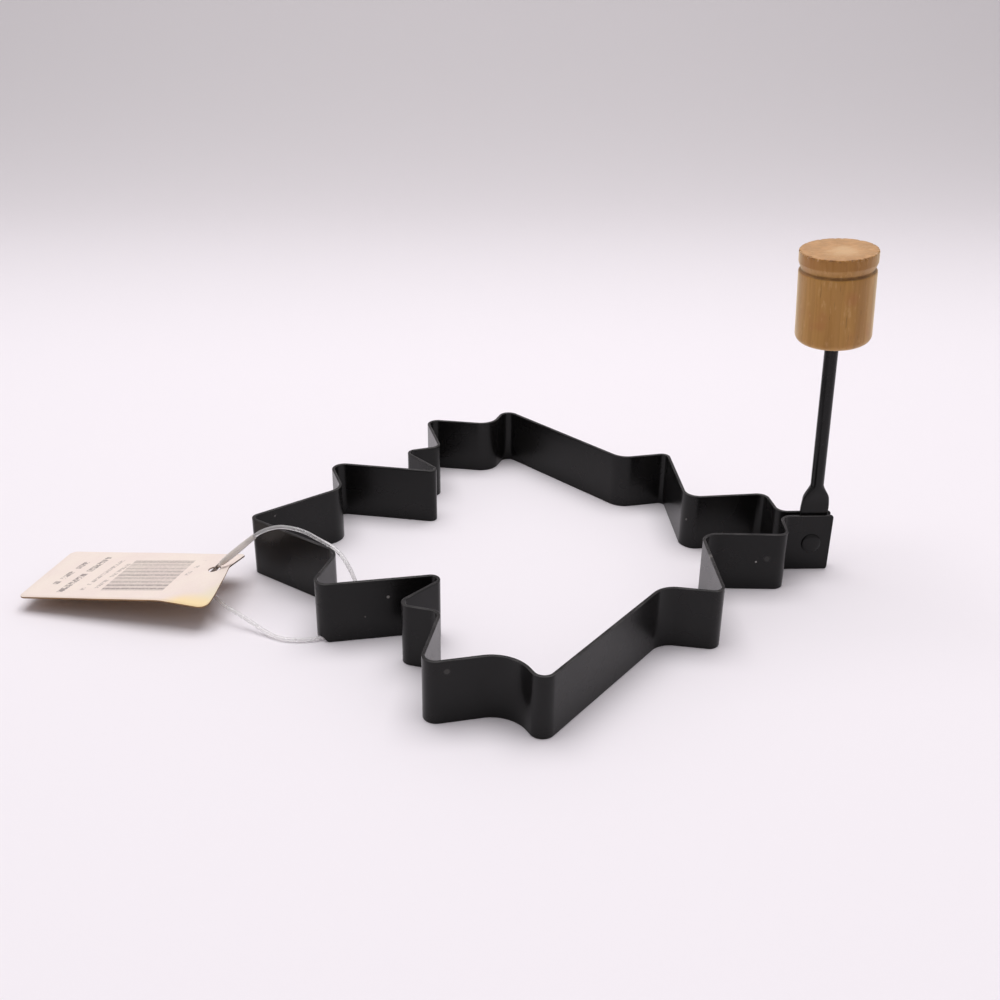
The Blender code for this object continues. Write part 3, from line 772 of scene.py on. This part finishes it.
def black_coat(name, roughness, marks=(), rims_at=()):
    """Baked black coat with faint orange peel, smudges and dust. It is thin on rims at the given heights."""
    made, tree, shader = new_finish(name, COAT_BLACK, roughness)
    shader.inputs["Specular IOR Level"].default_value = 0.24
    where = put(tree, "TexCoord").outputs["Object"]
    peel = grain(tree, where, 0.9)
    smudge = grain(tree, where, 14.0, 3.0)
    colour = tint(tree, spread(tree, smudge, 0.35, 0.75), COAT_BLACK, COAT_SMUDGED)
    height = put(tree, "SeparateXYZ", Vector=where).outputs[2]
    upright = put(tree, "SeparateXYZ", Vector=put(tree, "TexCoord").outputs["Normal"]).outputs[2]
    on_edge = spread(tree, sums(tree, "ABSOLUTE", upright), 0.6, 0.97, 1.0, 0.3)
    for rim in rims_at:
        off_rim = sums(tree, "ABSOLUTE", sums(tree, "SUBTRACT", height, rim * MM))
        worn = sums(tree, "MULTIPLY", spread(tree, off_rim, 0.24 * MM, 0.10 * MM), on_edge)
        worn = sums(tree, "MULTIPLY", worn, spread(tree, grain(tree, where, 5.0, 4.0), 0.35, 0.65, 0.35, 1.0))
        colour = tint(tree, worn, colour, COAT_WORN)
    specks = put(tree, "TexVoronoi", Vector=where, Scale=1 / (DUST_APART * MM))
    rare = put(tree, "SeparateColor", Color=specks.outputs["Color"]).outputs[0]
    dust = sums(tree, "LESS_THAN", specks.outputs["Distance"], sums(tree, "MULTIPLY", rare, DUST_ACROSS))
    dust = sums(tree, "MULTIPLY", dust, sums(tree, "GREATER_THAN", rare, DUST_SHARE))
    colour = tint(tree, sums(tree, "MULTIPLY", dust, 0.35), colour, COAT_DUST)
    for x, y, z, across, strength in marks:
        off = distance(tree, where, (x, y, z))
        spot = spread(tree, off, across / 2 * MM, across / 5 * MM, 0.0, strength)
        colour = tint(tree, spot, colour, COAT_NICKED)
    tree.links.new(colour, shader.inputs["Base Color"])
    sheen = spread(tree, smudge, 0.35, 0.7, roughness * 0.88, roughness * 1.15)
    tree.links.new(sheen, shader.inputs["Roughness"])
    bump = put(tree, "Bump", Height=peel, Strength=0.25, Distance=0.03 * MM)
    tree.links.new(bump.outputs[0], shader.inputs["Normal"])
    return made


rivet_place = Matrix.Translation(RIVET_PLACE * MM) @ Matrix.Rotation(math.pi / 2, 4, "X")
strip_coat = black_coat("black_coat", STRIP_ROUGHNESS, COAT_MARKS, (0.0, STRIP_HIGH))
strip = made_of("strip", *skinned(strip_points()), strip_coat, sharp_deg=50)
drilled(strip)
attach(strip, "ring")
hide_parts("leaf_band")

# The pivot is a solid steel rivet through both ears and the handle's tang. Each end is hammered over into a
# low round head that sits flat on its ear, and it was coated black with the ring.
SHANK_THICK = 3.0
HEAD_ACROSS = 5.2
HEAD_SEAT = 1.7
HEAD_TOP = 2.4
HEAD_RIM = 0.15
HEAD_FULLNESS = 0.8
HEAD_STEPS = 12
RIVET_SIDES = 56
RIVET_ROUGHNESS = 0.27

head_half = HEAD_ACROSS / 2
dome_low = HEAD_SEAT + HEAD_RIM
head_dome = [(head_half - 0.12, HEAD_SEAT), (head_half, HEAD_SEAT + 0.1)]
for step in range(1, HEAD_STEPS):
    lean = math.pi / 2 * step / HEAD_STEPS
    dome_across = head_half * math.cos(lean) ** HEAD_FULLNESS
    head_dome.append((dome_across, dome_low + (HEAD_TOP - dome_low) * math.sin(lean)))
upper_half = [(SHANK_THICK / 2, HEAD_SEAT)] + head_dome + [(0.0, HEAD_TOP)]
rivet_profile = [(r, -y) for r, y in reversed(upper_half)] + upper_half
rivet_shape = turned(rivet_profile, RIVET_SIDES)
rivet_coat = black_coat("rivet_coat", RIVET_ROUGHNESS)
rivet = made_of("rivet", *rivet_shape, rivet_coat, sharp_deg=50, place=rivet_place)
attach(rivet, "ring")
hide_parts("pivot_rivet")

# The handle is a round steel rod. Its lower end is hammered into a flat tang that stands between the ears and
# turns on the rivet, so the handle folds down to either side. It is coated black like the ring.
TANG_THICK = 1.2
TANG_WIDE = 7.4
TANG_FLAT = 9.6
NECK_WIDE = 6.5
NECK_LONG = 5.0
SHOULDER_AT = 12.6
SHOULDER_LONG = 4.2
ROD_THICK = 3.4
ROD_OFF_RIVET = 0.6
ROD_TOP = 70.8
ROD_CHAMFER = 0.4
ROD_SIDES = 64
ROD_ROUGHNESS = 0.25
HANDLE_LEAN_DEG = 1.9


def eased(value, start, length):
    """0 before start and 1 after start + length, easing in and out between them."""
    share = min(max((value - start) / length, 0.0), 1.0)
    return share * share * (3 - 2 * share)


def rod_rings():
    """Rings of points up the handle, from the tang's round end about the rivet to the rod's top."""
    tang, rod, neck = TANG_WIDE / 2, ROD_THICK / 2, NECK_WIDE / 2
    shoulder_end = SHOULDER_AT + SHOULDER_LONG
    heights = [-tang * math.cos(math.radians(5 + 85 * k / 14)) for k in range(15)]
    heights += [TANG_FLAT * k / 8 for k in range(1, 8)]
    heights += [TANG_FLAT + (shoulder_end - TANG_FLAT) * k / 30 for k in range(31)]
    heights += [shoulder_end + (ROD_TOP - shoulder_end) * k / 14 for k in range(1, 14)]
    heights += [ROD_TOP - ROD_CHAMFER, ROD_TOP - 0.12, ROD_TOP]
    rings = []
    for height in heights:
        rounding = eased(height, TANG_FLAT + 1.0, shoulder_end - TANG_FLAT - 1.0)
        width = tang + (neck - tang) * eased(height, TANG_FLAT, NECK_LONG)
        width += (rod - neck) * eased(height, SHOULDER_AT, SHOULDER_LONG)
        if height < 0:
            width = math.sqrt(tang**2 - height**2)
        thick = TANG_THICK / 2 + (rod - TANG_THICK / 2) * rounding
        trim = ROD_CHAMFER * max(0.0, (height - ROD_TOP + ROD_CHAMFER) / ROD_CHAMFER) ** 2
        offset = ROD_OFF_RIVET * eased(height, 0, SHOULDER_AT)
        # the section is a rounded oblong on the tang and grows into a circle on the rod
        power = 2 / (7 - 5 * rounding)
        ring = []
        for k in range(ROD_SIDES):
            turn = math.tau * k / ROD_SIDES
            across, through = math.cos(turn), math.sin(turn)
            x = math.copysign(abs(across) ** power, across) * (width - trim) + offset
            y = math.copysign(abs(through) ** power, through) * (thick - trim)
            ring.append((x, y, height))
        rings.append(ring)
    return rings


handle_turn = Matrix.Rotation(math.radians(-HANDLE_LEAN_DEG), 4, "Y")
handle_place = Matrix.Translation(RIVET_PLACE * MM) @ handle_turn
rod_coat = black_coat("rod_coat", ROD_ROUGHNESS)
rod = made_of("rod", *skinned(rod_rings()), rod_coat, sharp_deg=50, place=handle_place)
drilled(rod)
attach(rod, "handle")
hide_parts("handle_rod")

# The knob is turned from a hardwood dowel, with a V groove under its cap, and pushed on the rod a little
# askew. Its side shows the grain running up, and its top is the dowel's sawn end, chipped round the rim.
KNOB_FOOT = 56.1
KNOB_HIGH = 22.9
KNOB_WIDE = 18.5
CAP_WIDE = 18.7
CAP_HIGH = 4.5
CAP_BEVEL = 1.2
RIM_BEVEL = 0.35
FOOT_ROUNDING = 2.0
GROOVE_WIDE = 0.9
GROOVE_DEEP = 0.6
BORE_DEEP = 15.0
BORE_WIDE = 4.0
GROOVE_AT = KNOB_HIGH - CAP_HIGH
BEVEL_END = GROOVE_AT + GROOVE_WIDE / 2 + CAP_BEVEL
KNOB_TILT_DEG = (2.0, -2.4)
KNOB_SIDES = 144
CHIP_REACH = 0.9
CHIP_DEEP = 0.55
TURNING_UNEVEN = 0.03
# where the middle of the tree was, and how far apart its growth rings are
PITH = (6.0, 42.0, 0.0)
RING_APART = 2.3
WOOD_PALE = (0.515, 0.252, 0.050)
WOOD_DARK = (0.335, 0.142, 0.022)
WOOD_RED = (0.44, 0.155, 0.035)
WOOD_FLECK = (0.70, 0.41, 0.16)
WOOD_PORE = (0.15, 0.07, 0.02)
WOOD_SHEEN = (1.0, 0.88, 0.62)
CAP_BROWN = (0.35, 0.135, 0.018)
# paler cut wood on the bevel under the cap, with painted light bounced up from the floor
BEVEL_LIT_PALE = (0.66, 0.40, 0.20)
# painted shade for the groove's recess
GROOVE_SHADE = (0.085, 0.035, 0.01)
END_GRAIN = (0.53, 0.248, 0.082)
END_GRAIN_DARK = (0.43, 0.192, 0.056)
SAWN_PALE = (0.71, 0.41, 0.17)
PALE_PATCH = (0.6, -1.8, 22.9)
PATCH_COLOUR = (0.80, 0.52, 0.28)
TORN_DARK = (0.19, 0.085, 0.03)
TORN_PALE = (0.84, 0.58, 0.34)


def knob_profile():
    """The knob's outline from the middle of its foot to the middle of its top."""
    side, cap, bore = KNOB_WIDE / 2, CAP_WIDE / 2, BORE_WIDE / 2
    groove = side - GROOVE_DEEP
    groove_low, groove_high = GROOVE_AT - GROOVE_WIDE / 2, GROOVE_AT + GROOVE_WIDE / 2
    straight = groove_low - 0.5 - FOOT_ROUNDING
    outline = [(0.0, BORE_DEEP), (bore, BORE_DEEP), (bore, 0.25), (bore + 0.2, 0.0)]
    outline += [(4.5, 0.0), (side - FOOT_ROUNDING - 0.6, 0.0)]
    outline += round_corner((side - FOOT_ROUNDING, FOOT_ROUNDING), -90, 0, FOOT_ROUNDING, 12)
    outline += [(side, FOOT_ROUNDING + straight * k / 10) for k in range(1, 11)]
    # the groove is cut in square from below, with a worn edge, and slopes out to the cap above
    outline += [(side - 0.03, groove_low - 0.2), (side - 0.14, groove_low), (groove, GROOVE_AT - 0.12)]
    outline += [(groove - 0.02, GROOVE_AT), (groove, GROOVE_AT + 0.12), (groove + 0.2, groove_high)]
    outline += [(groove + 0.45, groove_high + CAP_BEVEL * 0.55), (cap - 0.12, BEVEL_END - 0.1)]
    outline += [(cap, BEVEL_END + 0.15), (cap, (BEVEL_END + KNOB_HIGH) / 2)]
    outline += round_corner((cap - RIM_BEVEL, KNOB_HIGH - RIM_BEVEL), 0, 90, RIM_BEVEL, 5)
    outline += [(cap * share, KNOB_HIGH) for share in (0.93, 0.85, 0.7, 0.55, 0.4, 0.2)] + [(0.0, KNOB_HIGH)]
    return outline


def turned_wood():
    """Fine hardwood: growth rings seen lengthwise on the side and across on the sawn top, with painted shade
    in the groove and painted floor light on the bevel under the cap.
    """
    made, tree, shader = new_finish("turned_wood", WOOD_PALE, 0.5)
    shader.inputs["Sheen Weight"].default_value = 0.95
    shader.inputs["Sheen Roughness"].default_value = 0.4
    shader.inputs["Sheen Tint"].default_value = (*WOOD_SHEEN, 1.0)
    shader.inputs["Specular IOR Level"].default_value = 0.5
    where = put(tree, "TexCoord").outputs["Object"]
    drift = grain(tree, where, 11.0, 2.0, (1, 1, 0.16))
    pith = put(tree, "VectorMath", {"operation": "SUBTRACT"})
    tree.links.new(where, pith.inputs[0])
    pith.inputs[1].default_value = Vector(PITH) * MM
    flat = put(tree, "VectorMath", {"operation": "MULTIPLY"})
    tree.links.new(pith.outputs[0], flat.inputs[0])
    flat.inputs[1].default_value = (1.0, 1.0, 0.06)
    reach = put(tree, "VectorMath", {"operation": "LENGTH"})
    tree.links.new(flat.outputs[0], reach.inputs[0])
    rings_out = sums(tree, "DIVIDE", reach.outputs["Value"], RING_APART * MM)
    ring = sums(tree, "MULTIPLY_ADD", drift, 3.2, rings_out)
    late = sums(tree, "POWER", sums(tree, "FRACT", ring), 2.0)
    colour = tint(tree, sums(tree, "MULTIPLY", late, 0.28), WOOD_PALE, WOOD_DARK)
    bands = grain(tree, where, 3.4, 2.0, (1, 1, 0.06))
    colour = tint(tree, spread(tree, bands, 0.42, 0.66, 0.0, 0.55), colour, WOOD_DARK)
    fibre = grain(tree, where, 0.7, 3.0, (1, 1, 0.04))
    colour = tint(tree, spread(tree, fibre, 0.45, 0.75, 0.0, 0.35), colour, WOOD_DARK)
    flecks = grain(tree, where, 0.8, 3.0, (1, 1, 0.3))
    colour = tint(tree, spread(tree, flecks, 0.56, 0.75, 0.0, 0.4), colour, WOOD_FLECK)
    pores = grain(tree, where, 0.36, 2.0, (1, 1, 0.07))
    colour = tint(tree, spread(tree, pores, 0.67, 0.73, 0.0, 0.55), colour, WOOD_PORE)
    blotch = grain(tree, where, 5.0, 3.0, (1, 1, 0.6))
    colour = tint(tree, spread(tree, blotch, 0.54, 0.72, 0.0, 0.5), colour, WOOD_RED)

    height = sums(tree, "DIVIDE", put(tree, "SeparateXYZ", Vector=where).outputs[2], MM)
    # painted light: the bevel under the cap is lightened for floor light bounced onto it, and for its fresher
    # cut wood
    bevel_lit = inside(tree, height, GROOVE_AT + 0.3, BEVEL_END, 0.25)
    bevel_lit = sums(tree, "MULTIPLY", bevel_lit, spread(tree, blotch, 0.3, 0.6, 0.02, 0.26))
    colour = tint(tree, bevel_lit, colour, BEVEL_LIT_PALE)
    # painted shade: the V groove's slot is darkened as if in shadow
    groove_shade = inside(tree, height, GROOVE_AT - GROOVE_WIDE / 2 - 0.05, GROOVE_AT + 0.2, 0.14)
    groove_shade = sums(tree, "MULTIPLY", groove_shade, spread(tree, blotch, 0.3, 0.6, 0.62, 0.3))
    colour = tint(tree, groove_shade, colour, GROOVE_SHADE)
    on_cap = spread(tree, height, BEVEL_END - 0.5, BEVEL_END + 0.6, 0.0, 0.45)
    colour = tint(tree, on_cap, colour, CAP_BROWN)

    on_top = spread(tree, height, KNOB_HIGH - 0.12, KNOB_HIGH - 0.02)
    mottled = grain(tree, where, 2.6, 4.0)
    end_grain = tint(tree, spread(tree, mottled, 0.36, 0.62), END_GRAIN, END_GRAIN_DARK)
    saw_marks = grain(tree, where, 0.6, 3.0, (0.3, 1, 1))
    end_grain = tint(tree, spread(tree, saw_marks, 0.48, 0.72, 0.0, 0.45), end_grain, SAWN_PALE)
    patch = sums(tree, "MULTIPLY_ADD", mottled, -8.0 * MM, distance(tree, where, PALE_PATCH))
    end_grain = tint(tree, spread(tree, patch, 1.6 * MM, -2.8 * MM, 0.0, 0.5), end_grain, PATCH_COLOUR)
    colour = tint(tree, on_top, colour, end_grain)

    axes = put(tree, "SeparateXYZ", Vector=where)
    square = sums(tree, "MULTIPLY", axes.outputs[0], axes.outputs[0])
    radius = sums(tree, "SQRT", sums(tree, "MULTIPLY_ADD", axes.outputs[1], axes.outputs[1], square))
    near_side = spread(tree, radius, (CAP_WIDE / 2 - 0.75) * MM, (CAP_WIDE / 2 - 0.2) * MM)
    near_top = spread(tree, height, KNOB_HIGH - 0.85, KNOB_HIGH - 0.25)
    at_rim = sums(tree, "MULTIPLY", near_side, near_top)
    splinters = grain(tree, where, 0.75, 4.0)
    torn = sums(tree, "MULTIPLY", at_rim, spread(tree, splinters, 0.46, 0.62, 0.0, 0.65))
    colour = tint(tree, torn, colour, TORN_DARK)
    fuzzy = sums(tree, "MULTIPLY", at_rim, spread(tree, splinters, 0.40, 0.3, 0.0, 0.65))
    colour = tint(tree, fuzzy, colour, TORN_PALE)
    tree.links.new(colour, shader.inputs["Base Color"])
    tree.links.new(spread(tree, fibre, 0.3, 0.8, 0.45, 0.65), shader.inputs["Roughness"])
    relief = sums(tree, "ADD", sums(tree, "MULTIPLY", fibre, 0.5), sums(tree, "MULTIPLY", pores, -0.5))
    relief = sums(tree, "MULTIPLY_ADD", sums(tree, "MULTIPLY", on_top, saw_marks), 1.2, relief)
    bump = put(tree, "Bump", Height=relief, Strength=0.35, Distance=0.07 * MM)
    tree.links.new(bump.outputs[0], shader.inputs["Normal"])
    return made


knob_turn = Matrix.Rotation(math.radians(KNOB_TILT_DEG[1]), 4, "Y")
knob_turn = knob_turn @ Matrix.Rotation(math.radians(KNOB_TILT_DEG[0]), 4, "X")
knob_place = handle_place @ Matrix.Translation(Vector((ROD_OFF_RIVET, 0, KNOB_FOOT)) * MM) @ knob_turn
# the bore follows the rod, which isn't square to the tilted knob
bore_way = knob_turn.inverted() @ Vector((0, 0, 1))
knob_points, knob_faces = turned(knob_profile(), KNOB_SIDES)
worn_points = []
for x, y, z in knob_points:
    radius = math.hypot(x, y)
    if radius < BORE_WIDE / 2 + 0.3 and z <= BORE_DEEP:
        worn_points.append((x + bore_way.x / bore_way.z * z, y + bore_way.y / bore_way.z * z, z))
        continue
    # chips of about a millimetre are torn out of the cap's rim, and of nothing else
    spot = Vector((x, y, z))
    rim_share = max(0.0, 1 - math.hypot(radius - CAP_WIDE / 2, z - KNOB_HIGH) / CHIP_REACH)
    chip = max(0.0, noise.fractal(spot * 1.1, 0.7, 2.1, 3) - 0.05) * rim_share * CHIP_DEEP
    uneven = noise.noise(spot / 5) * TURNING_UNEVEN
    shrink = 1 - (chip + uneven) / radius if radius > 1 else 1
    worn_points.append((x * shrink, y * shrink, z - chip * 0.5))
knob = made_of("knob", worn_points, knob_faces, turned_wood(), sharp_deg=24, place=knob_place)
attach(knob, "handle")
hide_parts("wooden_knob")

# The ring stands on a plain pale sweep: a floor that curves up behind it into a wall, greyer there with
# painted shade for the light that falls off towards the back.
# A wide soft lamp hangs over it. The room's own light comes from behind the ring and from its sides, and is
# dim in front. Where the room is seen, straight on, in a gloss or through the strand, it is evenly pale.
FLOOR_NEAR = (0.860, 0.815, 0.855)
FLOOR_FAR_SHADE = (0.600, 0.567, 0.585)
FLOOR_HALF = 9.0
SHADE_START = 0.14
SHADE_END = 0.62
SWEEP_START = 0.40
SWEEP_RADIUS = 0.34
SWEEP_STEPS = 24
WALL_TOP = 0.62
PAPER_ROUGHNESS = 0.75
LAMP_LONG = 1.1
LAMP_DEEP = 0.8
LAMP_PLACE = (0.0, 0.17, 1.05)
LAMP_TIP_DEG = -9.0
LAMP_ENERGY = 9.2
ROOM_DIM = (0.10, 0.098, 0.10)
ROOM_PALE = (0.54, 0.527, 0.54)
ROOM_SEEN = (0.52, 0.50, 0.515)
DIM_IN_FRONT = -0.55
PALE_BEHIND = 0.25

sweep_line = [(-FLOOR_HALF, 0.0), (SWEEP_START, 0.0)]
for step in range(1, SWEEP_STEPS + 1):
    lean = math.pi / 2 * step / SWEEP_STEPS
    sweep_line.append((SWEEP_START + SWEEP_RADIUS * math.sin(lean), SWEEP_RADIUS * (1 - math.cos(lean))))
sweep_line.append((SWEEP_START + SWEEP_RADIUS, WALL_TOP))
sweep_mesh = bpy.data.meshes.new("sweep")
sweep_points = [(side * FLOOR_HALF, y, z) for y, z in sweep_line for side in (-1, 1)]
sweep_faces = [(2 * k, 2 * k + 1, 2 * k + 3, 2 * k + 2) for k in range(len(sweep_line) - 1)]
sweep_mesh.from_pydata(sweep_points, [], sweep_faces)
sweep_mesh.shade_smooth()
paper, paper_tree, paper_shader = new_finish("pale_paper", FLOOR_NEAR, PAPER_ROUGHNESS)
paper_shader.inputs["Specular IOR Level"].default_value = 0.2
paper_place = put(paper_tree, "TexCoord").outputs["Object"]
how_far_back = put(paper_tree, "SeparateXYZ", Vector=paper_place).outputs[1]
# painted shade: the paper greys towards the back, for light that falls off there
paper_painted_shade = spread(paper_tree, how_far_back, SHADE_START, SHADE_END)
paper_tree.links.new(tint(paper_tree, paper_painted_shade, FLOOR_NEAR, FLOOR_FAR_SHADE), paper_shader.inputs["Base Color"])
sweep_mesh.materials.append(paper)
sweep = bpy.data.objects.new("sweep", sweep_mesh)
bpy.context.scene.collection.objects.link(sweep)

lamp_data = bpy.data.lights.new("overhead", "AREA")
lamp_data.shape = "RECTANGLE"
lamp_data.size = LAMP_LONG
lamp_data.size_y = LAMP_DEEP
lamp_data.energy = LAMP_ENERGY
lamp = bpy.data.objects.new("overhead", lamp_data)
bpy.context.scene.collection.objects.link(lamp)
lamp.location = LAMP_PLACE
lamp.rotation_euler = (math.radians(LAMP_TIP_DEG), 0, 0)

room = bpy.data.worlds.new("room")
room.use_nodes = True
room_tree = room.node_tree
room_way = put(room_tree, "SeparateXYZ", Vector=put(room_tree, "TexCoord").outputs["Generated"])
room_back = sums(room_tree, "MULTIPLY_ADD", room_way.outputs[2], 0.5, room_way.outputs[1])
room_side = sums(room_tree, "ABSOLUTE", room_way.outputs[0])
room_back = sums(room_tree, "MULTIPLY_ADD", room_side, 0.5, room_back)
room_light = spread(room_tree, room_back, DIM_IN_FRONT, PALE_BEHIND)
room_colour = tint(room_tree, room_light, ROOM_DIM, ROOM_PALE)
ray = put(room_tree, "LightPath")
room_seen = sums(room_tree, "MAXIMUM", ray.outputs["Is Camera Ray"], ray.outputs["Is Transmission Ray"])
room_seen = sums(room_tree, "MAXIMUM", room_seen, ray.outputs["Is Glossy Ray"])
room_colour = tint(room_tree, room_seen, room_colour, ROOM_SEEN)
room_tree.links.new(room_colour, room_tree.nodes["Background"].inputs["Color"])
bpy.context.scene.world = room
bpy.context.scene.view_settings.view_transform = "Standard"
